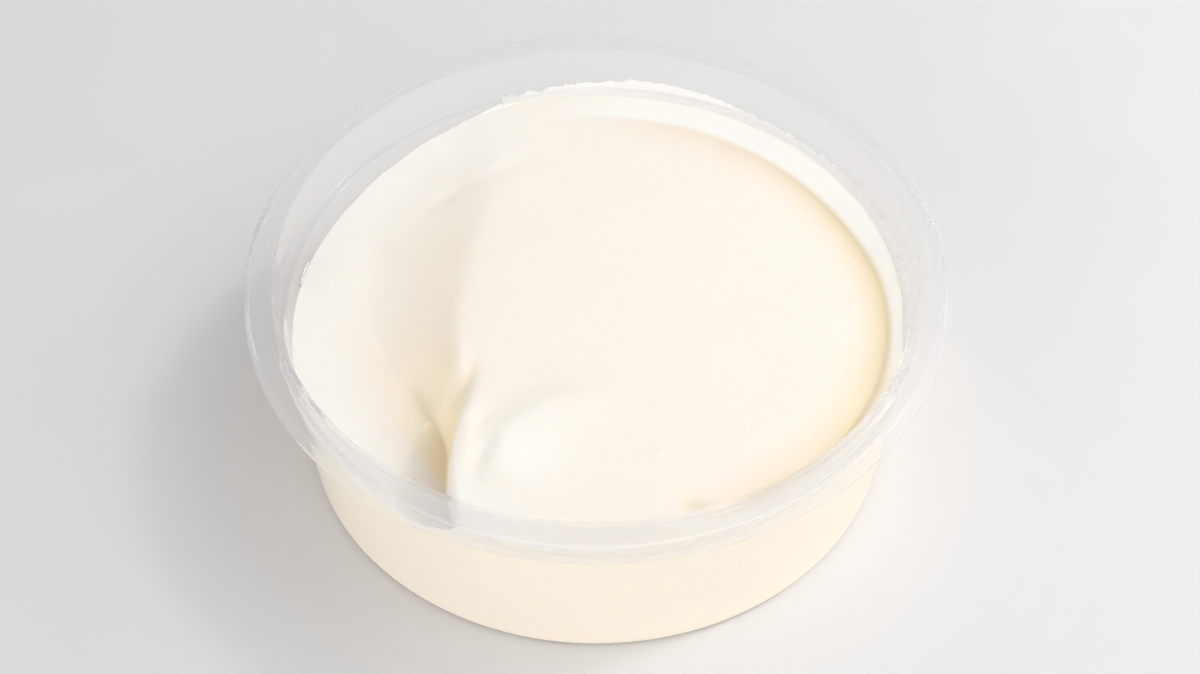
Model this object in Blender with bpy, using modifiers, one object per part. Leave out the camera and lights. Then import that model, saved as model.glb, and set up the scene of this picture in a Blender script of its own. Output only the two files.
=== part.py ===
"""Shallow round clear plastic tub, filled with thick mayonnaise that keeps the marks of a spoon.

The tub stands on the plane z = 0 with its axis on the Z axis. The front of the filling faces -Y.
"""

import bmesh
import bpy
import math

MM = 0.001

# Tub: heights above the table and radii from the axis.
TUB_HEIGHT = 32.9 * MM
FLANGE_HEIGHT = 32.6 * MM
SKIRT_FOOT_HEIGHT = 29.1 * MM
LEDGE_HEIGHT = 25.6 * MM
FLOOR_HEIGHT = 1.0 * MM
HEEL_HEIGHT = 1.3 * MM
SKIRT_FOOT_RADIUS = 50.8 * MM
FLANGE_RADIUS = 50.5 * MM
LIP_OUTER_RADIUS = 48.0 * MM
MOUTH_RADIUS = 46.3 * MM
WALL_TOP_RADIUS = 45.0 * MM
WALL_FOOT_RADIUS = 42.7 * MM
HEEL_ROUND = 1.3 * MM
WALL = 0.5 * MM
TUB_STEPS = 80
CORNER_POINTS = 3

# Filling: heights of its surface above the table.
GAP = 0.3 * MM
MOUND_HEIGHT = 26.3 * MM
TROUGH_HEIGHT = 20.9 * MM
TROUGH_FALL = 0.045
EDGE_SOFTNESS = 0.08
LEAN_X = -8.0 * MM
LEAN_Y = 1.0 * MM
LEAN_TURN = math.radians(42.0)
LEAN_FALL = 0.035
LEAN_SOFTNESS = 4.0 * MM
FILLING_STEPS = 88
CROWD_ANGLE = math.radians(-130.0)
CROWD = 0.42

# Where the surface meets the wall: angle in degrees, height and width of the bank beside the wall in mm.
WALL_LEVELS = (
    (-180, 20.4, 6.0), (-165, 20.0, 6.0), (-145, 20.3, 5.0), (-124, 21.0, 3.0), (-112, 25.3, 3.0),
    (-90, 25.6, 5.0), (-60, 25.2, 3.0), (-30, 24.9, 2.4), (30, 25.0, 2.4), (66, 26.4, 4.0),
    (90, 26.2, 6.0), (112, 25.9, 10.0), (126, 25.7, 12.0), (137, 24.7, 11.0), (150, 22.8, 9.0),
    (165, 22.0, 7.0), (180, 20.4, 6.0),
)
BANK_CURVE = 1.3

# Groove between the mound and the wall: angle in degrees, depth in mm.
GROOVE_DEPTHS = (
    (-180, 0.0), (-76, 0.0), (-55, 1.2), (-28, 1.8), (28, 1.8), (50, 1.7),
    (70, 1.3), (90, 0.6), (112, 0.0), (180, 0.0),
)
GROOVE_RADIUS = 42.6 * MM
GROOVE_INNER_WIDTH = 8.0 * MM
GROOVE_OUTER_WIDTH = 1.8 * MM
GROOVE_CURVE = 2.0

# Left edge of the mound, from front to back: y, x of the edge, width and curve of its slope, lengths in mm.
MOUND_EDGE = (
    (-46.0, -18.2, 2.2, 1.0), (-37.0, -19.2, 2.2, 1.0), (-34.0, -19.7, 2.2, 1.0), (-30.0, -20.0, 2.2, 1.0),
    (-26.5, -19.7, 2.2, 1.0), (-23.5, -18.8, 2.3, 1.0), (-21.0, -17.8, 2.4, 1.0), (-18.0, -17.3, 2.5, 1.0),
    (-14.8, -17.4, 2.6, 1.0), (-12.6, -18.6, 4.0, 1.1), (-10.6, -19.8, 7.0, 1.2), (-7.0, -20.3, 10.0, 1.4),
    (-1.0, -20.2, 13.0, 1.5), (4.0, -19.4, 15.0, 1.5), (14.0, -18.2, 15.5, 1.5), (20.0, -16.6, 16.0, 1.5),
    (34.0, -15.6, 16.0, 1.5),
)

# Round heap beside the fold, sharp at its back left and fading away from there.
HEAP_X = -4.5 * MM
HEAP_Y = -29.0 * MM
HEAP_RADIUS = 10.8 * MM
HEAP_EDGE = 5.2 * MM
HEAP_RISE = 1.0 * MM
HEAP_TURN = math.radians(135.0)
HEAP_FADE = 15.5 * MM

# Bumps and hollows: centre x, centre y, half length, half width, turn in degrees, rise, lengths in mm.
SWELLS = (
    (-17.6, -21.6, 3.2, 1.3, 70.0, 0.3),
    (-18.0, -28.0, 4.6, 1.5, 84.0, 0.45),
    (-15.2, -28.4, 3.6, 1.2, 70.0, -0.35),
    (-11.6, -21.8, 4.0, 2.0, 36.0, -0.35),
    (-21.0, -14.0, 4.2, 2.2, 78.0, 1.7),
    (-22.0, -25.5, 5.4, 1.8, 84.0, -1.7),
    (-23.6, -26.0, 6.5, 3.0, 80.0, -0.9),
    (12.8, -38.0, 2.2, 1.8, 0.0, -1.2),
    (-14.5, 27.6, 4.0, 1.8, 20.0, -0.3),
    (-23.0, 23.6, 3.6, 1.8, 34.0, -0.4),
)


def smooth(value):
    """Rises from 0 to 1 with level ends."""
    value = min(max(value, 0.0), 1.0)
    return value * value * (3.0 - 2.0 * value)


def between(table, place, column=1):
    """Value of a table at a place, eased from each row to the next."""
    rows = sorted(table)
    if place <= rows[0][0]:
        return rows[0][column]
    for low, high in zip(rows, rows[1:]):
        if place <= high[0]:
            part = smooth((place - low[0]) / (high[0] - low[0]))
            return low[column] + (high[column] - low[column]) * part
    return rows[-1][column]


def make_material(name, colour, roughness, alpha=1.0):
    material = bpy.data.materials.new(name)
    material.use_nodes = True
    shader = material.node_tree.nodes["Principled BSDF"]
    shader.inputs["Base Color"].default_value = (*colour, 1.0)
    shader.inputs["Metallic"].default_value = 0.0
    shader.inputs["Roughness"].default_value = roughness
    shader.inputs["Alpha"].default_value = alpha
    return material


def round_corner(centre, radius, start, end):
    """Points of an arc, angles in degrees, from start to end."""
    points = []
    for step in range(CORNER_POINTS + 1):
        angle = math.radians(start + (end - start) * step / CORNER_POINTS)
        points.append((centre[0] + radius * math.cos(angle), centre[1] + radius * math.sin(angle)))
    return points


def inner_radius(height):
    """Radius of the tub's inner face: collar above the ledge, tapered wall below it."""
    ledge_fall = 0.5 * MM
    wall_top = LEDGE_HEIGHT - ledge_fall
    if height >= LEDGE_HEIGHT:
        return MOUTH_RADIUS - 0.2 * MM
    if height >= wall_top:
        part = (height - wall_top) / ledge_fall
        return WALL_TOP_RADIUS + (MOUTH_RADIUS - 0.2 * MM - WALL_TOP_RADIUS) * part
    part = (height - HEEL_HEIGHT) / (wall_top - HEEL_HEIGHT)
    return WALL_FOOT_RADIUS + (WALL_TOP_RADIUS - WALL_FOOT_RADIUS) * part


def tub_profile():
    """Section of the tub: out along the floor, up the inner face, over the rim, down outside."""
    inner_round = HEEL_ROUND - WALL
    lip_round = 0.4 * MM
    edge_round = 0.5 * MM
    fillet_z = FLOOR_HEIGHT + inner_round
    ledge_z = LEDGE_HEIGHT - 0.5 * MM
    collar = MOUTH_RADIUS - 0.2 * MM

    points = [(0.0, FLOOR_HEIGHT), (WALL_FOOT_RADIUS * 0.5, FLOOR_HEIGHT)]
    points += round_corner((WALL_FOOT_RADIUS - inner_round, fillet_z), inner_round, -90, 0)
    points += [(WALL_TOP_RADIUS, ledge_z), (collar, LEDGE_HEIGHT)]
    points += [(MOUTH_RADIUS, TUB_HEIGHT - 2 * lip_round)]
    points += round_corner((MOUTH_RADIUS + lip_round, TUB_HEIGHT - lip_round), lip_round, 180, 90)
    points += round_corner((LIP_OUTER_RADIUS - lip_round, TUB_HEIGHT - lip_round), lip_round, 90, 25)
    points += [(LIP_OUTER_RADIUS + 0.1 * MM, FLANGE_HEIGHT)]
    points += round_corner((FLANGE_RADIUS - edge_round, FLANGE_HEIGHT - edge_round), edge_round, 90, 0)
    points += [(SKIRT_FOOT_RADIUS, SKIRT_FOOT_HEIGHT), (SKIRT_FOOT_RADIUS - WALL, SKIRT_FOOT_HEIGHT)]
    under_edge = (FLANGE_RADIUS - WALL - edge_round, FLANGE_HEIGHT - WALL - edge_round)
    points += round_corner(under_edge, edge_round, 0, 90)
    points += [(MOUTH_RADIUS + WALL, FLANGE_HEIGHT - WALL)]
    points += [(collar + WALL, LEDGE_HEIGHT - WALL), (WALL_TOP_RADIUS + WALL, ledge_z - WALL)]
    points += round_corner((WALL_FOOT_RADIUS + WALL - HEEL_ROUND, HEEL_ROUND), HEEL_ROUND, 0, -90)
    points += [(WALL_FOOT_RADIUS * 0.5, 0.0), (0.0, 0.0)]
    return points


def turned_object(name, profile, steps, collection):
    """Open profile in the XZ plane, turned once round the Z axis."""
    mesh = bpy.data.meshes.new(name)
    edges = [(index, index + 1) for index in range(len(profile) - 1)]
    mesh.from_pydata([(radius, 0.0, height) for radius, height in profile], edges, [])
    turned = bpy.data.objects.new(name, mesh)
    collection.objects.link(turned)
    screw = turned.modifiers.new("Turn", "SCREW")
    screw.axis = "Z"
    screw.angle = math.tau
    screw.steps = steps
    screw.render_steps = steps
    screw.use_merge_vertices = True
    screw.merge_threshold = 0.00001
    screw.use_smooth_shade = True
    return turned


def make_tub(collection):
    tub = turned_object("tub", tub_profile(), TUB_STEPS, collection)
    tub.data.materials.append(make_material("clear_plastic", (0.86, 0.87, 0.87), 0.12, 0.35))
    return tub


def swell_height(swell, x, y):
    """Rise of one bump at a point: 1 at its centre, fading over its half length and half width."""
    centre_x, centre_y, length, width = (value * MM for value in swell[:4])
    angle = math.radians(swell[4])
    rise = swell[5] * MM
    along = (x - centre_x) * math.cos(angle) + (y - centre_y) * math.sin(angle)
    across = (y - centre_y) * math.cos(angle) - (x - centre_x) * math.sin(angle)
    return rise * math.exp(-((along / length) ** 2 + (across / width) ** 2))


def heap_height(x, y):
    """Rise of the round heap, which fades away from its sharp back left edge."""
    away = math.hypot(x - HEAP_X, y - HEAP_Y)
    behind = HEAP_RADIUS - (x - HEAP_X) * math.cos(HEAP_TURN) - (y - HEAP_Y) * math.sin(HEAP_TURN)
    return HEAP_RISE * smooth((HEAP_RADIUS - away) / HEAP_EDGE + 0.5) * smooth(1.0 - behind / HEAP_FADE)


def lean_fall(x, y):
    """Fall of the mound's back left part, which leans away from the rest."""
    side = (y - LEAN_Y) * math.cos(LEAN_TURN) - (x - LEAN_X) * math.sin(LEAN_TURN)
    return LEAN_FALL * LEAN_SOFTNESS * math.log1p(math.exp(side / LEAN_SOFTNESS))


def body_height(x, y):
    """Surface of the filling away from the wall: the mound, the spoon's trough and their bumps."""
    edge = between(MOUND_EDGE, y / MM, 1) * MM
    slope = between(MOUND_EDGE, y / MM, 2) * MM
    curve = between(MOUND_EDGE, y / MM, 3)
    climb = min(max((x - edge + slope) / slope, 0.0), 3.0) ** curve
    mound = -EDGE_SOFTNESS * math.log(math.exp(-climb / EDGE_SOFTNESS) + math.exp(-1.0 / EDGE_SOFTNESS))
    trough = TROUGH_HEIGHT + TROUGH_FALL * y
    top = MOUND_HEIGHT - lean_fall(x, y)
    height = trough + (top - trough) * mound + heap_height(x, y)
    return height + sum(swell_height(swell, x, y) for swell in SWELLS)


def surface_height(radius, angle, wall_radius, wall_level):
    """Height of the filling: the body, the groove beside the wall and the bank up the wall."""
    depth = between(GROOVE_DEPTHS, math.degrees(angle)) * MM
    bank = between(WALL_LEVELS, math.degrees(angle), 2) * MM
    groove = min(max(1.0 - (GROOVE_RADIUS - radius) / GROOVE_INNER_WIDTH, 0.0), 1.0) ** GROOVE_CURVE
    groove *= 1.0 - smooth((radius - GROOVE_RADIUS) / GROOVE_OUTER_WIDTH)
    climb = min(max(1.0 - (wall_radius - radius) / bank, 0.0), 1.0) ** BANK_CURVE
    body = body_height(radius * math.cos(angle), radius * math.sin(angle))
    return body + (wall_level - body) * climb - depth * groove * (1.0 - climb)


def make_filling(collection):
    """Turned blank of unit size, whose rings are then moved to the wall, the floor and the surface."""
    foot = FLOOR_HEIGHT + GAP
    shoulder = LEDGE_HEIGHT - 0.55 * MM
    side_heights = (LEDGE_HEIGHT - 0.05 * MM, shoulder, 17.0 * MM, 9.0 * MM, 2.2 * MM)
    inner_rings = (0.12, 0.24, 0.35, 0.44, 0.52, 0.59, 0.65, 0.705, 0.755)
    rings = inner_rings + (0.80, 0.84, 0.875, 0.905, 0.93, 0.95, 0.966, 0.981)
    corner = 0.975

    blank = [(0.0, 1.0)] + [(ring, 1.0) for ring in rings] + [(1.0, 1.0)]
    blank += [(1.0, 1.0 - 0.1 * (row + 1)) for row in range(len(side_heights))]
    blank += [(corner, 0.0), (0.6, 0.0), (0.3, 0.0), (0.0, 0.0)]
    turned = turned_object("blank", blank, FILLING_STEPS, collection)

    graph = bpy.context.evaluated_depsgraph_get()
    mesh = bpy.data.meshes.new_from_object(turned.evaluated_get(graph))
    bpy.data.objects.remove(turned)

    shape = bmesh.new()
    shape.from_mesh(mesh)
    for vertex in shape.verts:
        part = vertex.co.xy.length
        level = vertex.co.z
        angle = math.atan2(vertex.co.y, vertex.co.x)
        angle -= CROWD * math.sin(angle - CROWD_ANGLE)
        angle = math.atan2(math.sin(angle), math.cos(angle))
        wall_level = between(WALL_LEVELS, math.degrees(angle)) * MM
        wall_radius = inner_radius(wall_level) - GAP
        if level > 0.95:
            radius = part * wall_radius
            height = surface_height(radius, angle, wall_radius, wall_level)
        elif level > 0.05:
            row = round((1.0 - level) / 0.1) - 1
            height = min(side_heights[row], wall_level - 0.12 * MM * (row + 1))
            radius = inner_radius(height) - GAP
        else:
            radius = part / corner * (WALL_FOOT_RADIUS - GAP - 1.0 * MM)
            height = foot
        vertex.co = (radius * math.cos(angle), radius * math.sin(angle), height)
    bmesh.ops.triangulate(shape, faces=shape.faces[:])
    bmesh.ops.recalc_face_normals(shape, faces=shape.faces[:])
    shape.to_mesh(mesh)
    shape.free()

    mesh.name = "mayonnaise"
    filling = bpy.data.objects.new("mayonnaise", mesh)
    collection.objects.link(filling)
    mesh.shade_smooth()
    mesh.materials.append(make_material("mayonnaise_cream", (0.97, 0.90, 0.76), 0.42))
    return filling


def main():
    for old in list(bpy.data.objects):
        bpy.data.objects.remove(old)
    collection = bpy.data.collections.new("mayonnaise_tub")
    bpy.context.scene.collection.children.link(collection)
    make_tub(collection)
    make_filling(collection)


main()
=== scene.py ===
import math
import bmesh
import bpy
import numpy as np
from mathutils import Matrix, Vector, noise


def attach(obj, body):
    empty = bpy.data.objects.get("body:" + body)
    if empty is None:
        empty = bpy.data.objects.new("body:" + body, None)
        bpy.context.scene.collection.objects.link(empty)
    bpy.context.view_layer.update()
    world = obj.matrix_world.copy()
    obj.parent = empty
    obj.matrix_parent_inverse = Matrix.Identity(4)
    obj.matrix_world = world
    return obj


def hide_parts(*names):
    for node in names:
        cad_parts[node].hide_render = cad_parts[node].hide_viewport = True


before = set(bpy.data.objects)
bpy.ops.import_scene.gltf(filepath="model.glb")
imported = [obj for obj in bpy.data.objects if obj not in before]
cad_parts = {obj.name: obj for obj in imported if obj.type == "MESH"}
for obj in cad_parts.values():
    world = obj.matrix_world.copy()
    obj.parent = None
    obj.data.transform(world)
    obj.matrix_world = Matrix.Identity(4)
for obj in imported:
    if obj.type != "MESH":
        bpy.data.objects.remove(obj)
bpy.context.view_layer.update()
mm = 0.001


# small helpers for shapes

def ease(value):
    value = np.clip(value, 0.0, 1.0)
    return value * value * (3.0 - 2.0 * value)


def readTable(table, place, column=1):  # eased value between the rows of a table
    rows = np.array(table)
    low = np.clip(np.searchsorted(rows[:, 0], place) - 1, 0, len(rows) - 2)
    part = ease((place - rows[low, 0]) / (rows[low + 1, 0] - rows[low, 0]))
    return rows[low, column] + (rows[low + 1, column] - rows[low, column]) * part


def readCurve(table, place, column=1):  # smooth curve through the rows of a table
    rows = np.array(table)
    steep = np.gradient(rows[:, column], rows[:, 0])
    low = np.clip(np.searchsorted(rows[:, 0], place) - 1, 0, len(rows) - 2)
    span = rows[low + 1, 0] - rows[low, 0]
    part = np.clip((place - rows[low, 0]) / span, 0.0, 1.0)
    blend = ease(part)
    ends = rows[low, column] * (1.0 - blend) + rows[low + 1, column] * blend
    return ends + span * part * (1.0 - part) * (steep[low] * (1.0 - part) - steep[low + 1] * part)


def ringPoint(radius, angle, height):  # mm and degrees in, metres out
    turn = math.radians(angle)
    return Vector((radius * math.cos(turn), radius * math.sin(turn), height)) * mm


def meshPiece(name, shape, material):
    mesh = bpy.data.meshes.new(name)
    bmesh.ops.recalc_face_normals(shape, faces=shape.faces[:])
    shape.to_mesh(mesh)
    shape.free()
    mesh.shade_smooth()
    piece = bpy.data.objects.new(name, mesh)
    bpy.context.scene.collection.objects.link(piece)
    mesh.materials.append(material)
    return piece


def gridShape(rows, columns, place, closed=True, startPole=False, endPole=False):
    # sheet of quads; place(row, column) gives each point
    shape = bmesh.new()
    firstRow = 1 if startPole else 0
    lastRow = rows - 1 if endPole else rows
    grid = []
    for row in range(firstRow, lastRow):
        grid.append([shape.verts.new(place(row, column)) for column in range(columns)])
    spans = columns if closed else columns - 1
    for low, high in zip(grid, grid[1:]):
        for column in range(spans):
            after = (column + 1) % columns
            shape.faces.new((low[column], low[after], high[after], high[column]))
    for used, ring, pole in ((startPole, grid[0], 0), (endPole, grid[-1], rows - 1)):
        if used:
            tip = shape.verts.new(place(pole, 0))
            for column in range(spans):
                shape.faces.new((ring[column], ring[(column + 1) % columns], tip))
    return shape


# shader groups that several materials share

def newGroup(name, inputs, outputs):
    group = bpy.data.node_groups.new(name, "ShaderNodeTree")
    for label, kind, value in inputs:
        socket = group.interface.new_socket(label, in_out="INPUT", socket_type=kind)
        socket.default_value = value
    for label, kind in outputs:
        group.interface.new_socket(label, in_out="OUTPUT", socket_type=kind)
    start = group.nodes.new("NodeGroupInput")
    end = group.nodes.new("NodeGroupOutput")
    return group, start, end


def addNode(tree, kind, **values):
    node = tree.nodes.new(kind)
    for name, value in values.items():
        setattr(node, name, value)
    return node


def buildCreamGroup():  # soft drifts of tone, with a fine grain of trapped air
    group, start, end = newGroup(
        "creamDrift",
        (("Light", "NodeSocketColor", (1, 1, 1, 1)), ("Deep", "NodeSocketColor", (1, 1, 1, 1)),
         ("Drift Scale", "NodeSocketFloat", 60.0), ("Grain Scale", "NodeSocketFloat", 900.0)),
        (("Color", "NodeSocketColor"), ("Height", "NodeSocketFloat")),
    )
    place = addNode(group, "ShaderNodeTexCoord")
    drift = addNode(group, "ShaderNodeTexNoise")
    drift.inputs["Detail"].default_value = 2.0
    drift.inputs["Distortion"].default_value = 0.8
    grain = addNode(group, "ShaderNodeTexNoise")
    grain.inputs["Detail"].default_value = 3.0
    mix = addNode(group, "ShaderNodeMix", data_type="RGBA")
    height = addNode(group, "ShaderNodeMath", operation="MULTIPLY_ADD")
    height.inputs[1].default_value = 0.25
    links = group.links
    links.new(place.outputs["Object"], drift.inputs["Vector"])
    links.new(place.outputs["Object"], grain.inputs["Vector"])
    links.new(start.outputs["Drift Scale"], drift.inputs["Scale"])
    links.new(start.outputs["Grain Scale"], grain.inputs["Scale"])
    links.new(drift.outputs["Fac"], mix.inputs["Factor"])
    links.new(start.outputs["Light"], mix.inputs["A"])
    links.new(start.outputs["Deep"], mix.inputs["B"])
    links.new(grain.outputs["Fac"], height.inputs[0])
    links.new(drift.outputs["Fac"], height.inputs[2])
    links.new(mix.outputs["Result"], end.inputs["Color"])
    links.new(height.outputs["Value"], end.inputs["Height"])
    return group


def buildHazeGroup():  # uneven gloss and faint flow ripples of moulded plastic
    group, start, end = newGroup(
        "mouldedHaze",
        (("Clear", "NodeSocketFloat", 0.05), ("Hazy", "NodeSocketFloat", 0.2),
         ("Patch Scale", "NodeSocketFloat", 50.0), ("Flow Scale", "NodeSocketFloat", 120.0)),
        (("Roughness", "NodeSocketFloat"), ("Height", "NodeSocketFloat")),
    )
    place = addNode(group, "ShaderNodeTexCoord")
    patch = addNode(group, "ShaderNodeTexNoise")
    patch.inputs["Detail"].default_value = 4.0
    flow = addNode(group, "ShaderNodeTexNoise")
    flow.inputs["Detail"].default_value = 1.0
    spread = addNode(group, "ShaderNodeMapRange")
    spread.inputs["From Min"].default_value = 0.35
    spread.inputs["From Max"].default_value = 0.7
    links = group.links
    links.new(place.outputs["Object"], patch.inputs["Vector"])
    links.new(place.outputs["Object"], flow.inputs["Vector"])
    links.new(start.outputs["Patch Scale"], patch.inputs["Scale"])
    links.new(start.outputs["Flow Scale"], flow.inputs["Scale"])
    links.new(patch.outputs["Fac"], spread.inputs["Value"])
    links.new(start.outputs["Clear"], spread.inputs["To Min"])
    links.new(start.outputs["Hazy"], spread.inputs["To Max"])
    links.new(spread.outputs["Result"], end.inputs["Roughness"])
    links.new(flow.outputs["Fac"], end.inputs["Height"])
    return group


def buildFilmGroup():  # breaks up a thin film where it doesn't cover fully
    group, start, end = newGroup(
        "thinFilm",
        (("Cover", "NodeSocketFloat", 1.0), ("Patchiness", "NodeSocketFloat", 0.5)),
        (("Alpha", "NodeSocketFloat"),),
    )
    place = addNode(group, "ShaderNodeTexCoord")
    patch = addNode(group, "ShaderNodeTexNoise")
    patch.inputs["Scale"].default_value = 240.0
    patch.inputs["Detail"].default_value = 3.0
    around = addNode(group, "ShaderNodeMath", operation="SUBTRACT")
    around.inputs[1].default_value = 0.5
    thin = addNode(group, "ShaderNodeMath", operation="MULTIPLY")
    thin.inputs[1].default_value = 4.0
    gaps = addNode(group, "ShaderNodeMath", operation="SUBTRACT")
    gaps.inputs[0].default_value = 1.0
    spread = addNode(group, "ShaderNodeMath", operation="MULTIPLY")
    alpha = addNode(group, "ShaderNodeMath", operation="MULTIPLY_ADD", use_clamp=True)
    links = group.links
    links.new(place.outputs["Object"], patch.inputs["Vector"])
    links.new(patch.outputs["Fac"], around.inputs[0])
    links.new(start.outputs["Cover"], gaps.inputs[1])
    links.new(start.outputs["Patchiness"], thin.inputs[0])
    links.new(gaps.outputs["Value"], spread.inputs[0])
    links.new(thin.outputs["Value"], spread.inputs[1])
    links.new(around.outputs["Value"], alpha.inputs[0])
    links.new(spread.outputs["Value"], alpha.inputs[1])
    links.new(start.outputs["Cover"], alpha.inputs[2])
    links.new(alpha.outputs["Value"], end.inputs["Alpha"])
    return group


def buildPaintedShadeGroup():  # painted warm shade in hollows, standing in for light that warms as it is passed from side to side there; painted light (Pale) where Hollow is below zero
    group, start, end = newGroup(
        "paintedHollowShade",
        (("Light", "NodeSocketColor", (1, 1, 1, 1)), ("Amber", "NodeSocketColor", (1, 0.8, 0.5, 1)),
         ("Pale", "NodeSocketColor", (1, 1, 1, 1)), ("Hollow", "NodeSocketFloat", 0.0),
         ("Gain", "NodeSocketFloat", 1.0)),
        (("Color", "NodeSocketColor"),),
    )
    depth = addNode(group, "ShaderNodeMath", operation="MULTIPLY", use_clamp=True)
    shade = addNode(group, "ShaderNodeMath", operation="POWER", use_clamp=True)
    shade.inputs[1].default_value = 1.2
    above = addNode(group, "ShaderNodeMath", operation="MULTIPLY", use_clamp=True)
    above.inputs[1].default_value = -1.0
    lift = addNode(group, "ShaderNodeMix", data_type="RGBA")
    mix = addNode(group, "ShaderNodeMix", data_type="RGBA")
    links = group.links
    links.new(start.outputs["Hollow"], depth.inputs[0])
    links.new(start.outputs["Gain"], depth.inputs[1])
    links.new(depth.outputs["Value"], shade.inputs[0])
    links.new(shade.outputs["Value"], mix.inputs["Factor"])
    links.new(start.outputs["Hollow"], above.inputs[0])
    links.new(above.outputs["Value"], lift.inputs["Factor"])
    links.new(start.outputs["Light"], lift.inputs["A"])
    links.new(start.outputs["Pale"], lift.inputs["B"])
    links.new(lift.outputs["Result"], mix.inputs["A"])
    links.new(start.outputs["Amber"], mix.inputs["B"])
    links.new(mix.outputs["Result"], end.inputs["Color"])
    return group


paintedShadeGroup = buildPaintedShadeGroup()
creamGroup = buildCreamGroup()
hazeGroup = buildHazeGroup()
filmGroup = buildFilmGroup()
print("shader groups ready")


def startMaterial(name):
    material = bpy.data.materials.new(name)
    material.use_nodes = True
    return material, material.node_tree, material.node_tree.nodes["Principled BSDF"]


def addGroup(tree, group, **values):
    node = addNode(tree, "ShaderNodeGroup", node_tree=group)
    for label, value in values.items():
        node.inputs[label.replace("_", " ")].default_value = value
    return node


def addBump(tree, shader, height, strength, distance):
    bump = addNode(tree, "ShaderNodeBump")
    bump.inputs["Strength"].default_value = strength
    bump.inputs["Distance"].default_value = distance
    tree.links.new(height, bump.inputs["Height"])
    tree.links.new(bump.outputs["Normal"], shader.inputs["Normal"])


# the tub

tub = {
    "height": 32.9,
    "flangeHeight": 32.6,
    "skirtFoot": 29.1,
    "ledgeHeight": 25.6,
    "ledgeFall": 0.5,
    "floorHeight": 1.0,
    "heelHeight": 1.3,
    "skirtRadius": 50.8,
    "flangeRadius": 50.5,
    "lipRadius": 48.0,
    "mouthRadius": 46.3,
    "collarRadius": 46.1,
    "wallTop": 45.0,
    "wallFoot": 42.7,
    "heelRound": 1.3,
    "wall": 0.5,
    "lipRound": 0.4,
    "edgeRound": 0.5,
    "ledgeSoft": 0.15,
    "cornerPoints": 6,
    "hold": 0.07,       # how close to an edge the extra points of a long span stand
    "longSpan": 0.6,
    "steps": 640,
    "ior": 1.025,
    "transmission": 0.88,
    "coat": 0.4,
    "coatGloss": 0.07,
    "clearGloss": 0.06,
    "hazyGloss": 0.11,
    "color": (0.928, 0.924, 0.922),
    "passColor": (0.965, 0.967, 0.967),
}


def innerRadius(height):  # inner face of the tub at a height, all in mm
    wallTop = tub["ledgeHeight"] - tub["ledgeFall"]
    heights = (tub["heelHeight"], wallTop, tub["ledgeHeight"], tub["height"] - 0.8)
    radii = (tub["wallFoot"], tub["wallTop"], tub["collarRadius"], tub["mouthRadius"])
    return np.interp(height, heights, radii)


def arc(centerRadius, centerHeight, size, start, end):
    count = tub["cornerPoints"]
    turns = [math.radians(start + (end - start) * step / count) for step in range(count + 1)]
    return [(centerRadius + size * math.cos(turn), centerHeight + size * math.sin(turn)) for turn in turns]


def holdFlats(points):  # extra points near the ends of long spans, so that flats shade flat
    held = [points[0]]
    for before, after in zip(points, points[1:]):
        span = math.dist(before, after)
        if span > tub["longSpan"]:
            for part in (tub["hold"] / span, 1.0 - tub["hold"] / span):
                held.append(tuple(low + (high - low) * part for low, high in zip(before, after)))
        held.append(after)
    return held


def tubSection():  # out along the floor, up inside, over the rim, down outside
    wall, lip, edge, soft = tub["wall"], tub["lipRound"], tub["edgeRound"], tub["ledgeSoft"]
    insideRound = tub["heelRound"] - wall
    ledgeFoot = tub["ledgeHeight"] - tub["ledgeFall"]
    points = [(0.0, tub["floorHeight"]), (tub["wallFoot"] / 2, tub["floorHeight"])]
    points += arc(tub["wallFoot"] - insideRound, tub["floorHeight"] + insideRound, insideRound, -90, 0)
    points += [(tub["wallTop"], ledgeFoot), (tub["wallTop"] + soft, ledgeFoot + 0.2)]
    points += [(tub["collarRadius"] - soft, tub["ledgeHeight"] - 0.05)]
    points += [(tub["collarRadius"], tub["ledgeHeight"] + soft)]
    points += [(tub["mouthRadius"], tub["height"] - 2 * lip)]
    points += arc(tub["mouthRadius"] + lip, tub["height"] - lip, lip, 180, 90)
    points += arc(tub["lipRadius"] - lip, tub["height"] - lip, lip, 90, 25)
    points += [(tub["lipRadius"] + 0.1, tub["flangeHeight"])]
    points += arc(tub["flangeRadius"] - edge, tub["flangeHeight"] - edge, edge, 90, 0)
    points += [(tub["skirtRadius"], tub["skirtFoot"] + 0.1), (tub["skirtRadius"] - 0.1, tub["skirtFoot"])]
    points += [(tub["skirtRadius"] - wall + 0.1, tub["skirtFoot"])]
    points += [(tub["skirtRadius"] - wall, tub["skirtFoot"] + 0.1)]
    points += arc(tub["flangeRadius"] - wall - edge, tub["flangeHeight"] - wall - edge, edge, 0, 90)
    points += [(tub["mouthRadius"] + wall, tub["flangeHeight"] - wall)]
    points += [(tub["collarRadius"] + wall, tub["ledgeHeight"] - wall)]
    points += [(tub["wallTop"] + wall, ledgeFoot - wall)]
    points += arc(tub["wallFoot"] + wall - tub["heelRound"], tub["heelRound"], tub["heelRound"], 0, -90)
    points += [(tub["wallFoot"] / 2, 0.0), (0.0, 0.0)]
    return holdFlats(points)


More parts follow.
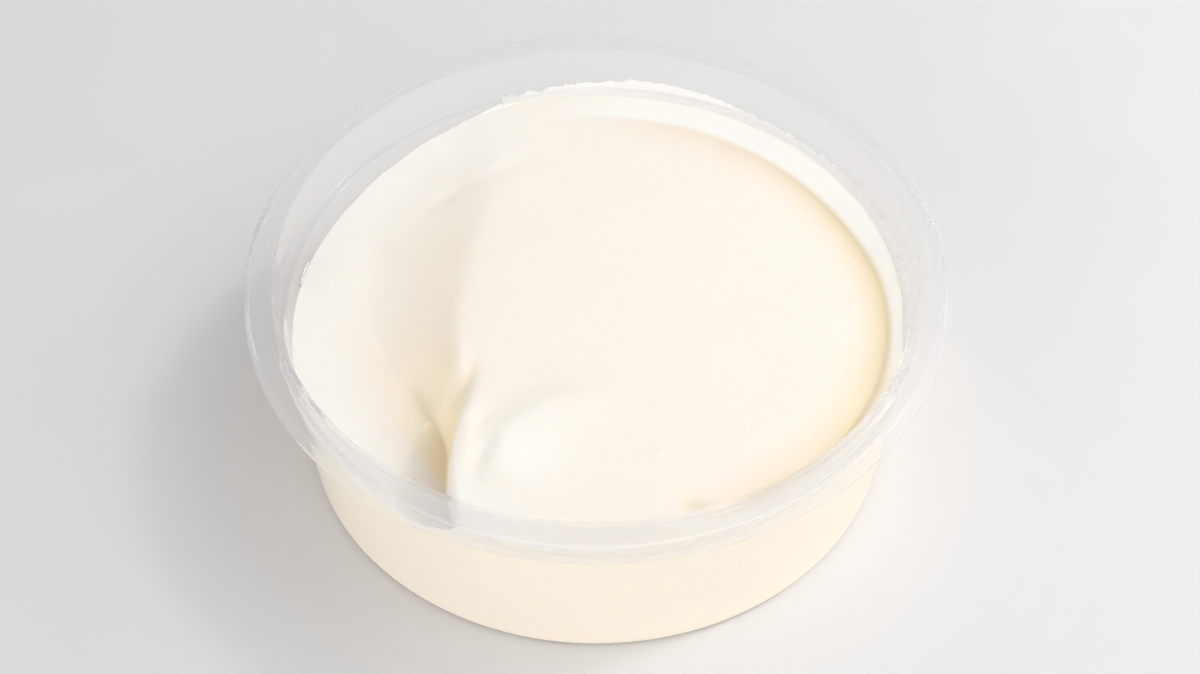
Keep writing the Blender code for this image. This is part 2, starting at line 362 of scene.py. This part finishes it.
def clearPlastic():
    material, tree, shader = startMaterial("clearPlastic")
    shader.inputs["Base Color"].default_value = (*tub["color"], 1.0)
    shader.inputs["Transmission Weight"].default_value = tub["transmission"]
    shader.inputs["IOR"].default_value = tub["ior"]
    shader.inputs["Coat Weight"].default_value = tub["coat"]
    shader.inputs["Coat Roughness"].default_value = tub["coatGloss"]
    haze = addGroup(
        tree, hazeGroup, Clear=tub["clearGloss"], Hazy=tub["hazyGloss"],
        Patch_Scale=70.0, Flow_Scale=160.0,
    )
    tree.links.new(haze.outputs["Roughness"], shader.inputs["Roughness"])
    passing = addNode(tree, "ShaderNodeBsdfTransparent")
    passing.inputs["Color"].default_value = (*tub["passColor"], 1.0)
    ray = addNode(tree, "ShaderNodeLightPath")
    # lamps and bounced light go through the thin wall, and light caught inside it is let out
    either = addNode(tree, "ShaderNodeMath", operation="MAXIMUM")
    trapped = addNode(tree, "ShaderNodeMath", operation="GREATER_THAN")
    trapped.inputs[1].default_value = 1.5
    through = addNode(tree, "ShaderNodeMath", operation="MAXIMUM")
    mix = addNode(tree, "ShaderNodeMixShader")
    out = tree.nodes["Material Output"]
    tree.links.new(ray.outputs["Is Shadow Ray"], either.inputs[0])
    tree.links.new(ray.outputs["Is Diffuse Ray"], either.inputs[1])
    tree.links.new(ray.outputs["Glossy Depth"], trapped.inputs[0])
    tree.links.new(either.outputs["Value"], through.inputs[0])
    tree.links.new(trapped.outputs["Value"], through.inputs[1])
    tree.links.new(through.outputs["Value"], mix.inputs["Fac"])
    tree.links.new(shader.outputs["BSDF"], mix.inputs[1])
    tree.links.new(passing.outputs["BSDF"], mix.inputs[2])
    tree.links.new(mix.outputs["Shader"], out.inputs["Surface"])
    return material


plastic = clearPlastic()


def makeTub():
    section = tubSection()

    def place(row, column):
        radius, height = section[row]
        return ringPoint(radius, 360.0 * column / tub["steps"], height)

    shape = gridShape(len(section), tub["steps"], place, startPole=True, endPole=True)
    return meshPiece("tubShell", shape, plastic)


tubPiece = makeTub()
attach(tubPiece, "root")
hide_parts("tub")
print("tub ready:", len(tubPiece.data.polygons), "faces")


# the mayonnaise

filling = {
    "moundHeight": 26.3,
    "troughHeight": 20.9,
    "troughFall": 0.045,
    "edgeSoft": 0.08,
    "intoWall": 0.12,       # how far it reaches into the plastic
    "intoHeel": 0.26,
    "underRadius": 41.0,
    "underHeight": 0.2,
    "bankCurve": 1.3,
    "rippleRise": 0.03,
    "ripples": ((0.33, 0.21, 0.0), (0.19, -0.41, 1.3), (0.52, 0.47, 4.0)),
    "spokes": 420,
    "rings": 124,
    "ringCrowd": 0.72,      # rings stand closer together outside
    "crowdAngle": -130.0,   # spokes stand closer together at the fold
    "crowd": 0.42,
    "groove": {"inner": 8.0, "curve": 2.0, "outer": 1.4},
    "heap": {"x": -4.5, "y": -29.0, "radius": 10.8, "edge": 5.2, "rise": 1.0, "turn": 135.0, "fade": 15.5},
    "tilt": {"x": -8.0, "y": 1.0, "turn": 42.0, "fall": 0.035, "soft": 4.0},
    "roughness": 0.42,
    "light": (0.977, 0.877, 0.803),
    # amber and amberGain: painted warm shade in hollows, laid on by the hollow attribute
    "amber": (1.0, 0.73, 0.31),
    # painted warm shade in the groove, multiplied in by the wallShade attribute
    "grooveShadeColor": (0.78, 0.75, 0.58),
    # pale: colour of the painted light
    "pale": (1.0, 0.955, 0.895),
    "amberGain": 1.35,
    "sidePaintedShade": 0.19,     # painted warm shade where it lies against the wall
    "lookAround": 16,       # directions, and distances, in which a point's horizon is sought
    "lookFar": (0.8, 1.6, 3.0, 5.5, 9.0),
    "film": {"from": -14, "to": 118, "top": 25.5, "radius": 44.6},
    "thinBank": {"from": -20.0, "rise": 12.0, "to": 110.0, "fall": 30.0},
    "leftBank": {"radius": 33.0, "soft": 9.0, "x": -2.0, "fade": 16.0, "amount": 0.8},
    "paintedLightSpots": (          # x, y, size, amount of painted light
        (-20.0, 36.0, 9.0, 0.9), (-33.0, 26.0, 8.0, 0.6),
        (-10.0, -29.0, 7.0, 0.8), (-40.0, 6.0, 8.0, 0.5),
    ),
    "scatter": (1.0, 0.8, 0.5),
    "scatterSize": 0.0013,
    "scatterWeight": 0.6,
}

# angle, height where the surface meets the wall, width of the bank beside the wall
wallLevels = (
    (-180, 20.6, 6.0), (-165, 20.2, 6.0), (-145, 20.3, 5.0), (-124, 21.0, 3.0), (-112, 25.0, 3.0),
    (-90, 25.05, 5.0), (-70, 25.0, 3.0), (-50, 24.8, 2.4), (-28, 24.6, 2.3), (-14, 24.9, 2.3),
    (3, 25.0, 2.6), (17, 25.05, 3.4), (28, 25.05, 4.6), (40, 25.05, 5.4), (52, 25.05, 5.6),
    (70, 25.05, 6.0), (88, 25.05, 7.5), (103, 25.0, 9.0), (113, 24.4, 11.0), (124, 23.2, 12.0),
    (136, 22.1, 11.0), (148, 21.2, 9.0), (160, 20.9, 7.5), (172, 20.8, 6.5), (180, 20.6, 6.0),
)

# angle, depth of the groove between the mound and the wall, radius of its outer side
grooveDepths = (
    (-180, 0.0, 42.6), (-76, 0.0, 42.6), (-55, 1.2, 42.6), (-30, 1.8, 42.6), (-10, 1.8, 42.3),
    (10, 1.8, 41.4), (25, 1.7, 40.2), (40, 1.35, 39.4), (55, 1.0, 39.1), (70, 0.6, 38.9),
    (88, 0.1, 38.7), (100, 0.0, 38.6), (180, 0.0, 38.6),
)

# y, x of the mound's left edge, width of the slope below it, curve of the slope
moundEdge = (
    (-46.0, -18.6, 0.9, 1.0), (-38.0, -19.1, 0.9, 1.0), (-34.0, -19.7, 0.9, 1.0), (-30.0, -20.1, 0.9, 1.0),
    (-26.5, -19.9, 1.1, 1.0), (-23.5, -19.3, 1.8, 1.1), (-20.5, -18.8, 3.4, 1.3), (-17.5, -18.4, 5.2, 1.5),
    (-14.0, -18.7, 7.0, 1.6), (-10.6, -19.5, 8.8, 1.6), (-7.0, -20.3, 10.5, 1.6), (-1.0, -20.2, 13.0, 1.5),
    (4.0, -19.4, 15.0, 1.5), (14.0, -18.2, 15.5, 1.5), (20.0, -16.6, 16.0, 1.5), (34.0, -15.6, 16.0, 1.5),
)

# bumps and hollows: x, y, half length, half width, turn in degrees, rise
swells = (
    (-17.6, -21.6, 3.2, 1.3, 70.0, 0.3),     # ridge to the tip
    (-18.2, -28.0, 4.6, 1.5, 84.0, 0.45),    # narrow lobe beside the fold
    (-15.2, -28.4, 3.6, 1.2, 70.0, -0.35),   # groove between lobe and mound
    (-11.6, -21.8, 4.0, 2.0, 36.0, -0.35),   # valley behind the heap
    (-21.0, -14.6, 4.4, 1.5, 80.0, 0.9),     # lower lobe that sinks towards the fold
    (-18.5, -15.8, 3.6, 1.1, 78.0, -0.7),    # soft crease between the lobe and the mound
    (-22.6, -18.0, 2.4, 1.4, 60.0, 0.3),     # ragged foot of the lobe
    (-24.2, -18.8, 0.7, 0.5, 60.0, 0.45),    # crumb of a peak
    (-21.4, -27.0, 6.5, 1.3, 86.0, -0.25),   # foot of the fold, deepest close to the edge
    (-22.8, -25.0, 6.5, 3.2, 80.0, -0.1),
    (12.8, -38.0, 1.9, 1.6, 0.0, -0.6),      # dimple near the front
    (16.4, -38.4, 1.6, 0.8, 10.0, 0.25),
    (8.7, -29.3, 1.1, 0.9, 0.0, 0.25),
    (-14.5, 27.6, 4.0, 1.6, 20.0, -0.3),     # crease below the back bank
    (-23.0, 23.6, 3.6, 1.6, 34.0, -0.4),
)


def swellHeight(swell, x, y):
    centerX, centerY, length, width, turn, rise = swell
    along = (x - centerX) * math.cos(math.radians(turn)) + (y - centerY) * math.sin(math.radians(turn))
    across = (y - centerY) * math.cos(math.radians(turn)) - (x - centerX) * math.sin(math.radians(turn))
    return rise * np.exp(-((along / length) ** 2 + (across / width) ** 2))


def softCap(value, soft):  # value held under 1 with a rounded corner
    return -soft * np.log(np.exp(-value / soft) + math.exp(-1.0 / soft))


def lowerMound(x, y):  # round heap by the fold, sharp at its back left and fading away from there
    heap = filling["heap"]
    turn = math.radians(heap["turn"])
    away = np.hypot(x - heap["x"], y - heap["y"])
    behind = heap["radius"] - (x - heap["x"]) * math.cos(turn) - (y - heap["y"]) * math.sin(turn)
    edge = ease((heap["radius"] - away) / heap["edge"] + 0.5)
    return heap["rise"] * edge * ease(1.0 - behind / heap["fade"])


def tiltFall(x, y):  # the back left part of the mound leans away
    tilt = filling["tilt"]
    turn = math.radians(tilt["turn"])
    side = (y - tilt["y"]) * math.cos(turn) - (x - tilt["x"]) * math.sin(turn)
    return tilt["fall"] * tilt["soft"] * np.logaddexp(0.0, side / tilt["soft"])


def bodyHeight(x, y):
    edge, slope, curve = (readCurve(moundEdge, y, column) for column in (1, 2, 3))
    climb = np.clip((x - edge + slope) / slope, 0.0, 3.0) ** curve
    mound = softCap(climb, filling["edgeSoft"])
    trough = filling["troughHeight"] + filling["troughFall"] * y
    top = filling["moundHeight"] - tiltFall(x, y)
    height = trough + (top - trough) * mound
    height += lowerMound(x, y) + sum(swellHeight(swell, x, y) for swell in swells)
    ripple = sum(np.sin(alongX * x + alongY * y + start) for alongX, alongY, start in filling["ripples"])
    return height + filling["rippleRise"] * ripple


def grooveDepth(radius, angle):
    groove = filling["groove"]
    fall = np.clip(1.0 - (readCurve(grooveDepths, angle, 2) - radius) / groove["inner"], 0.0, 1.0)
    return readTable(grooveDepths, angle) * fall ** groove["curve"]


def surfaceHeight(x, y):  # top of the mayonnaise anywhere inside the tub
    radius, angle = np.hypot(x, y), np.degrees(np.arctan2(y, x))
    level = readTable(wallLevels, angle, 1)
    bank = readTable(wallLevels, angle, 2)
    wall = innerRadius(level) + filling["intoWall"]
    near = np.clip(1.0 - (wall - radius) / bank, 0.0, 1.0) ** filling["bankCurve"]
    height = bodyHeight(x, y)
    height += (level - height) * near
    return height - grooveDepth(radius, angle) * (1.0 - near)


# mask for the painted shade in hollows
def hollowness(x, y, height):  # share of the sky that the surface round a point hides
    directions, film, total = filling["lookAround"], filling["film"], 0.0
    for step in range(directions):
        turn = math.tau * step / directions
        horizon = np.zeros_like(x)
        for reach in filling["lookFar"]:
            farX, farY = x + reach * math.cos(turn), y + reach * math.sin(turn)
            farRadius, farAngle = np.hypot(farX, farY), np.degrees(np.arctan2(farY, farX))
            filmed = (farAngle > film["from"]) & (farAngle < film["to"])
            filmTop = np.where(filmed, film["top"], readTable(wallLevels, farAngle))
            far = np.where(farRadius > film["radius"], filmTop, surfaceHeight(farX, farY))
            horizon = np.maximum(horizon, (far - height) / np.hypot(reach, far - height))
        total = total + horizon / directions
    return total


def wallShade(x, y):  # warm shade in the groove, none where the film begins
    radius, angle = np.hypot(x, y), np.degrees(np.arctan2(y, x))
    fade = 1.0 - ease((radius - readCurve(grooveDepths, angle, 2)) / filling["groove"]["outer"])
    deepest = max(row[1] for row in grooveDepths)
    return grooveDepth(radius, angle) / deepest * fade


def paintedPaleness(x, y):  # painted light on the back bank, the heap and the left bank, where light falls on them, and lighter where it climbs the wall
    pale = 0.0
    for centerX, centerY, size, amount in filling["paintedLightSpots"]:
        pale = np.maximum(pale, amount * np.exp(-((x - centerX) ** 2 + (y - centerY) ** 2) / size ** 2))
    radius, angle = np.hypot(x, y), np.degrees(np.arctan2(y, x))
    thin = ease((radius - readCurve(grooveDepths, angle, 2)) / filling["groove"]["outer"])
    ends, left = filling["thinBank"], filling["leftBank"]
    thin *= ease((angle - ends["from"]) / ends["rise"])  # lighter where it climbs the wall: a thin film there, and painted light
    thin *= ease((ends["to"] - angle) / ends["fall"])
    leftBank = ease((radius - left["radius"]) / left["soft"]) * ease((left["x"] - x) / left["fade"])
    return np.maximum(np.maximum(pale, thin), left["amount"] * leftBank)


def makeFilling():
    sideHeights = [25.7, 25.05] + [23.0 - 1.5 * step for step in range(14)]
    sideHeights += [2.2, 1.6, 1.1, 0.7, 0.4, filling["underHeight"]]  # round the heel
    rings, spokes, underRings = filling["rings"], filling["spokes"], 4
    angles = 360.0 * np.arange(spokes) / spokes - 180.0
    angles -= np.degrees(filling["crowd"] * np.sin(np.radians(angles - filling["crowdAngle"])))
    angles = (angles + 180.0) % 360.0 - 180.0
    levels = readTable(wallLevels, angles)
    walls = innerRadius(levels) + filling["intoWall"]
    parts = (np.arange(rings) / (rings - 1)) ** filling["ringCrowd"]
    topX = parts[:, None] * walls * np.cos(np.radians(angles))
    topY = parts[:, None] * walls * np.sin(np.radians(angles))
    topZ = surfaceHeight(topX, topY)
    # painted shade where the sky is hidden, less of it and painted light where pale
    deep = hollowness(topX, topY, topZ) - paintedPaleness(topX, topY)

    def place(row, column):
        if row < rings:
            return Vector((topX[row, column], topY[row, column], topZ[row, column])) * mm
        side = row - rings
        if side < len(sideHeights):
            height = min(sideHeights[side], levels[column] - 0.05 * (side + 1))
            radius = innerRadius(height) + filling["intoWall"]
            radius += filling["intoHeel"] * ease((4.0 - height) / 3.0)
            under = max(tub["heelRound"] - height, 0.0)
            radius -= tub["heelRound"] - math.sqrt(tub["heelRound"] ** 2 - under ** 2)
            return ringPoint(radius, angles[column], height)
        part = 1.0 - (side - len(sideHeights) + 1) / underRings
        return ringPoint(filling["underRadius"] * part, angles[column], filling["underHeight"])

    shape = gridShape(rings + len(sideHeights) + underRings, spokes, place, startPole=True, endPole=True)
    piece = meshPiece("mayonnaiseBody", shape, cream)
    # the hollow attribute carries painted shade, and painted light where it is below zero
    values = np.full(len(piece.data.vertices), filling["sidePaintedShade"])
    values[:(rings - 1) * spokes] = deep[1:].ravel()
    values[-2] = deep[0, 0]  # the pole in the middle of the top
    piece.data.attributes.new("hollow", "FLOAT", "POINT").data.foreach_set("value", values)
    shades = np.zeros(len(values))
    shades[:(rings - 1) * spokes] = wallShade(topX, topY)[1:].ravel()
    piece.data.attributes.new("wallShade", "FLOAT", "POINT").data.foreach_set("value", shades)
    return piece


def creamMaterial():
    material, tree, shader = startMaterial("mayonnaiseCream")
    # base colour with painted warm shade in hollows and painted light on the pale parts
    hollow = addNode(tree, "ShaderNodeAttribute", attribute_name="hollow")
    tint = addGroup(tree, paintedShadeGroup, Light=(*filling["light"], 1.0), Amber=(*filling["amber"], 1.0),
                    Pale=(*filling["pale"], 1.0), Gain=filling["amberGain"])
    drift = addGroup(tree, creamGroup, Drift_Scale=55.0, Grain_Scale=1400.0)
    drift.inputs["Deep"].default_value = (0.994, 0.985, 0.97, 1.0)
    both = addNode(tree, "ShaderNodeMix", data_type="RGBA", blend_type="MULTIPLY")
    both.inputs["Factor"].default_value = 1.0
    # painted warm shade in the groove beside the wall
    shade = addNode(tree, "ShaderNodeAttribute", attribute_name="wallShade")
    warm = addNode(tree, "ShaderNodeMix", data_type="RGBA", blend_type="MULTIPLY")
    warm.inputs["B"].default_value = (*filling["grooveShadeColor"], 1.0)
    tree.links.new(hollow.outputs["Fac"], tint.inputs["Hollow"])
    tree.links.new(tint.outputs["Color"], both.inputs["A"])
    tree.links.new(drift.outputs["Color"], both.inputs["B"])
    tree.links.new(both.outputs["Result"], warm.inputs["A"])
    tree.links.new(shade.outputs["Fac"], warm.inputs["Factor"])
    tree.links.new(warm.outputs["Result"], shader.inputs["Base Color"])
    shader.inputs["Roughness"].default_value = filling["roughness"]
    shader.inputs["IOR"].default_value = 1.45
    shader.inputs["Subsurface Weight"].default_value = filling["scatterWeight"]
    shader.inputs["Subsurface Radius"].default_value = filling["scatter"]
    shader.inputs["Subsurface Scale"].default_value = filling["scatterSize"]
    addBump(tree, shader, drift.outputs["Height"], 0.08, 0.0002)
    return material


cream = creamMaterial()
fillingPiece = makeFilling()
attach(fillingPiece, "root")
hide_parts("mayonnaise")
print("mayonnaise ready:", len(fillingPiece.data.polygons), "faces")


# the film of mayonnaise that a spoon left on the wall

smear = {
    "columns": 600,
    "rows": 26,
    "into": 0.05,
    "footDrop": 0.3,
    "edgeThick": 0.14,
    "shelf": 1.2,       # share of the rows that crosses the ledge, as a length
    "ragged": 0.4,
    "light": (0.985, 0.98, 0.965),
    "deep": (0.98, 0.965, 0.935),
    "patchiness": 0.2,
    "glow": 0.4,
}

# angle, height of the film's ragged upper edge, how well the film covers there, thickness at its foot
smearEdge = (
    (-13, 25.0, 0.5, 0.2), (-8, 25.35, 0.6, 0.3), (1, 25.4, 0.7, 0.3), (14, 25.35, 0.7, 0.3),
    (28, 25.35, 0.8, 0.3), (47, 25.5, 0.85, 0.4), (60, 25.9, 0.9, 0.5), (70, 26.8, 0.9, 0.6),
    (80, 27.2, 0.9, 0.6), (91, 26.4, 0.95, 0.6), (101, 25.7, 0.95, 0.5), (109, 25.1, 0.95, 0.4),
    (118, 24.0, 0.95, 0.25),
)


def wallPath(low, high, part):  # height after a share of the way up the wall, slower over the ledge
    height = low + (high - low) * part
    ledgeTop, ledgeFoot = tub["ledgeHeight"], tub["ledgeHeight"] - tub["ledgeFall"]
    if high <= ledgeFoot:
        return height
    below, above, shelf = ledgeFoot - low, max(high - ledgeTop, 0.0), smear["shelf"]
    step = part * (below + shelf + above)
    if step < below:
        return low + step
    if step < below + shelf:
        return ledgeFoot + (min(high, ledgeTop) - ledgeFoot) * (step - below) / shelf
    return ledgeTop + step - below - shelf


def makeSmear():
    first, last = smearEdge[0][0], smearEdge[-1][0]
    rows, columns = smear["rows"], smear["columns"]
    angles = np.linspace(first, last, columns)
    lows = readTable(wallLevels, angles) - smear["footDrop"]
    highs = readTable(smearEdge, angles)
    edgeCovers = readTable(smearEdge, angles, 2)
    feet = readTable(smearEdge, angles, 3)
    covers = []

    def place(row, column):
        angle, low = angles[column], lows[column]
        rough = noise.noise(Vector((angle * 0.45, 3.0, 0.0)))
        rough += 0.6 * noise.noise(Vector((angle * 1.7, 9.0, 0.0)))
        calm = ease((118.0 - angle) / 14.0)  # the edge runs smooth round the back left
        high = highs[column]
        inner = row < rows
        part = row / (rows - 1) if inner else (2 * rows - 1 - row) / (rows - 1)
        full = ease((angle - first) / 8.0)
        covers.append(full * (1.0 + (edgeCovers[column] - 1.0) * ease(part * 1.5)))
        height = wallPath(low, high, part) + smear["ragged"] * rough * calm * part ** 3
        radius = innerRadius(height)
        if not inner:
            return ringPoint(radius + smear["into"], angle, height)
        ends = ease(min(angle - first, last - angle) / 6.0)
        thick = smear["edgeThick"] + (feet[column] - smear["edgeThick"]) * (1.0 - part) ** 2
        lumps = 1.0 + 0.4 * ease(part * 3.0) * noise.noise(Vector((angle * 0.25, height * 0.5, 5.0)))
        thick *= ends * lumps * (ease((1.0 - part) / 0.12) * 0.9 + 0.1)
        return ringPoint(radius - thick, angle, height)

    shape = gridShape(2 * rows, columns, place, closed=False)
    piece = meshPiece("wallSmear", shape, smearMaterial())
    piece.data.attributes.new("cover", "FLOAT", "POINT").data.foreach_set("value", covers)
    return piece


def smearMaterial():
    material, tree, shader = startMaterial("thinSmear")
    drift = addGroup(
        tree, creamGroup, Light=(*smear["light"], 1.0), Deep=(*smear["deep"], 1.0),
        Drift_Scale=120.0, Grain_Scale=1400.0,
    )
    cover = addNode(tree, "ShaderNodeAttribute", attribute_name="cover")
    film = addGroup(tree, filmGroup, Patchiness=smear["patchiness"])
    tree.links.new(cover.outputs["Fac"], film.inputs["Cover"])
    tree.links.new(drift.outputs["Color"], shader.inputs["Base Color"])
    tree.links.new(film.outputs["Alpha"], shader.inputs["Alpha"])
    shader.inputs["Roughness"].default_value = 0.4
    addBump(tree, shader, drift.outputs["Height"], 0.08, 0.0002)
    behind = addNode(tree, "ShaderNodeBsdfTranslucent")  # lit from behind through the wall
    behind.inputs["Color"].default_value = (*smear["light"], 1.0)
    clear = addNode(tree, "ShaderNodeBsdfTransparent")
    glow = addNode(tree, "ShaderNodeMixShader")
    glowing = addNode(tree, "ShaderNodeMixShader")
    glowing.inputs["Fac"].default_value = smear["glow"]
    tree.links.new(film.outputs["Alpha"], glow.inputs["Fac"])
    tree.links.new(clear.outputs["BSDF"], glow.inputs[1])
    tree.links.new(behind.outputs["BSDF"], glow.inputs[2])
    tree.links.new(shader.outputs["BSDF"], glowing.inputs[1])
    tree.links.new(glow.outputs["Shader"], glowing.inputs[2])
    tree.links.new(glowing.outputs["Shader"], tree.nodes["Material Output"].inputs["Surface"])
    return material


smearPiece = makeSmear()
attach(smearPiece, "root")
print("smear ready:", len(smearPiece.data.polygons), "faces")


# a clear drop that clings to the wall beside the left bank

drop = {
    "angle": 168.0,
    "halfLength": 2.4,
    "halfWidth": 0.62,
    "depth": 0.5,
    "rise": 0.75,
    "steps": 28,
    "turns": 20,
}


def makeDrop():
    wallHeight = readTable(wallLevels, drop["angle"]) + drop["rise"]
    middle = innerRadius(wallHeight)

    def place(row, column):
        along = -math.cos(math.pi * row / (drop["steps"] - 1))
        waist = 1.0 - 0.35 * math.exp(-((along - 0.15) / 0.18) ** 2)  # two beads run together
        size = math.sqrt(max(1.0 - along * along, 0.0)) * waist
        turn = math.tau * column / drop["turns"]
        out = middle + 0.1 - drop["depth"] * (0.5 + size * math.cos(turn) * 0.5 if size else 0.5)
        angle = drop["angle"] + math.degrees(drop["halfLength"] * along / middle)
        return ringPoint(out, angle, wallHeight + drop["halfWidth"] * size * math.sin(turn) - 0.25 * along)

    shape = gridShape(drop["steps"], drop["turns"], place, startPole=True, endPole=True)
    return meshPiece("clearDrop", shape, dropMaterial())


def dropMaterial():
    material, tree, shader = startMaterial("clearDrop")
    shader.inputs["Base Color"].default_value = (0.98, 0.98, 0.97, 1.0)
    shader.inputs["Transmission Weight"].default_value = 0.9
    shader.inputs["IOR"].default_value = 1.4
    haze = addGroup(tree, hazeGroup, Clear=0.02, Hazy=0.1, Patch_Scale=600.0, Flow_Scale=900.0)
    tree.links.new(haze.outputs["Roughness"], shader.inputs["Roughness"])
    addBump(tree, shader, haze.outputs["Height"], 0.2, 0.0003)
    return material


dropPiece = makeDrop()
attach(dropPiece, "root")
print("drop ready")


# floor, light and camera

room = {
    "floorSize": 3.0,
    "floorLight": (0.745, 0.748, 0.752),
    "floorDeep": (0.715, 0.716, 0.717),
    "skyStrength": 0.38,
    "glows": (  # toward and how strong, brightest at the horizon
        (-1.95, -2.5),
        (0.0, 1.15),
    ),
    "lights": (
        # name, azimuth, elevation, distance, width, height, watts
        ("softRight", 2.0, 40.0, 0.7, 0.5, 0.5, 1.65),
        ("keyRight", 16.0, 42.0, 0.7, 0.1, 0.1, 0.85),
        ("softFrontRight", -46.0, 40.0, 0.7, 0.5, 0.5, 1.15),
        ("softBackRight", 45.0, 42.0, 0.7, 0.5, 0.5, 0.3),
        ("backStrip", 91.0, 46.0, 0.7, 0.06, 0.02, 0.03),
    ),
}


def buildGlowGroup():  # even sky with a soft glow low down on one side
    group, start, end = newGroup(
        "horizonGlow",
        (("Toward", "NodeSocketVector", (0, 0, 0)), ("Sky", "NodeSocketFloat", 0.0)),
        (("Brightness", "NodeSocketFloat"),),
    )
    look = addNode(group, "ShaderNodeTexCoord")
    facing = addNode(group, "ShaderNodeVectorMath", operation="DOT_PRODUCT")
    side = addNode(group, "ShaderNodeMath", operation="MAXIMUM")
    side.inputs[1].default_value = 0.0
    axes = addNode(group, "ShaderNodeSeparateXYZ")
    low = addNode(group, "ShaderNodeMath", operation="SUBTRACT", use_clamp=True)
    low.inputs[0].default_value = 1.0
    fade = addNode(group, "ShaderNodeMath", operation="POWER")
    fade.inputs[1].default_value = 2.0
    glow = addNode(group, "ShaderNodeMath", operation="MULTIPLY_ADD")
    links = group.links
    links.new(look.outputs["Generated"], facing.inputs[0])
    links.new(start.outputs["Toward"], facing.inputs[1])
    links.new(facing.outputs["Value"], side.inputs[0])
    links.new(look.outputs["Generated"], axes.inputs["Vector"])
    links.new(axes.outputs["Z"], low.inputs[1])
    links.new(low.outputs["Value"], fade.inputs[0])
    links.new(side.outputs["Value"], glow.inputs[0])
    links.new(fade.outputs["Value"], glow.inputs[1])
    links.new(start.outputs["Sky"], glow.inputs[2])
    links.new(glow.outputs["Value"], end.inputs["Brightness"])
    return group


glowGroup = buildGlowGroup()

camera = {
    "aim": (0.5, -13.18, 32.6),  # mm
    "elevation": 47.83,
    "distance": 400.0,
    "lens": 85.34,
}


def makeFloor():
    shape = bmesh.new()
    bmesh.ops.create_grid(shape, x_segments=1, y_segments=1, size=room["floorSize"] / 2)
    material, tree, shader = startMaterial("paleFloor")
    drift = addGroup(
        tree, creamGroup, Light=(*room["floorLight"], 1.0), Deep=(*room["floorDeep"], 1.0),
        Drift_Scale=28.0, Grain_Scale=260.0,
    )
    tree.links.new(drift.outputs["Color"], shader.inputs["Base Color"])
    shader.inputs["Roughness"].default_value = 0.85
    floor = meshPiece("floor", shape, material)
    floor.location.z = -0.06 * mm


def makeLights():
    world = bpy.data.worlds.new("studio")
    bpy.context.scene.world = world
    world.use_nodes = True
    tree = world.node_tree
    total = None
    for towardX, towardY in room["glows"]:
        sky = 0.0 if total else room["skyStrength"]
        glow = addGroup(tree, glowGroup, Toward=(towardX, towardY, 0.0), Sky=sky)
        if total:
            both = addNode(tree, "ShaderNodeMath", operation="ADD")
            tree.links.new(total, both.inputs[0])
            tree.links.new(glow.outputs["Brightness"], both.inputs[1])
            total = both.outputs["Value"]
        else:
            total = glow.outputs["Brightness"]
    tree.links.new(total, tree.nodes["Background"].inputs["Strength"])
    tree.nodes["Background"].inputs["Color"].default_value = (1.0, 1.0, 1.0, 1.0)
    for name, azimuth, elevation, distance, width, height, watts in room["lights"]:
        data = bpy.data.lights.new(name, "AREA")
        data.shape = "RECTANGLE"
        data.size, data.size_y, data.energy = width, height, watts
        light = bpy.data.objects.new(name, data)
        turn, rise = math.radians(azimuth), math.radians(elevation)
        away = Vector((math.cos(turn) * math.cos(rise), math.sin(turn) * math.cos(rise), math.sin(rise)))
        light.location = away * distance
        light.rotation_euler = (-away).to_track_quat("-Z", "Y").to_euler()
        bpy.context.scene.collection.objects.link(light)


def makeCamera():
    data = bpy.data.cameras.new("photoCamera")
    data.lens = camera["lens"]
    data.clip_start = 0.01
    eye = bpy.data.objects.new("photoCamera", data)
    rise = math.radians(camera["elevation"])
    back = Vector((0.0, -math.cos(rise), math.sin(rise)))
    eye.location = (Vector(camera["aim"]) + back * camera["distance"]) * mm
    eye.rotation_euler = (math.radians(90.0 - camera["elevation"]), 0.0, 0.0)
    bpy.context.scene.collection.objects.link(eye)
    bpy.context.scene.camera = eye


makeFloor()
makeLights()
makeCamera()
bpy.context.scene.view_settings.view_transform = "Standard"
print("floor, lights and camera ready")
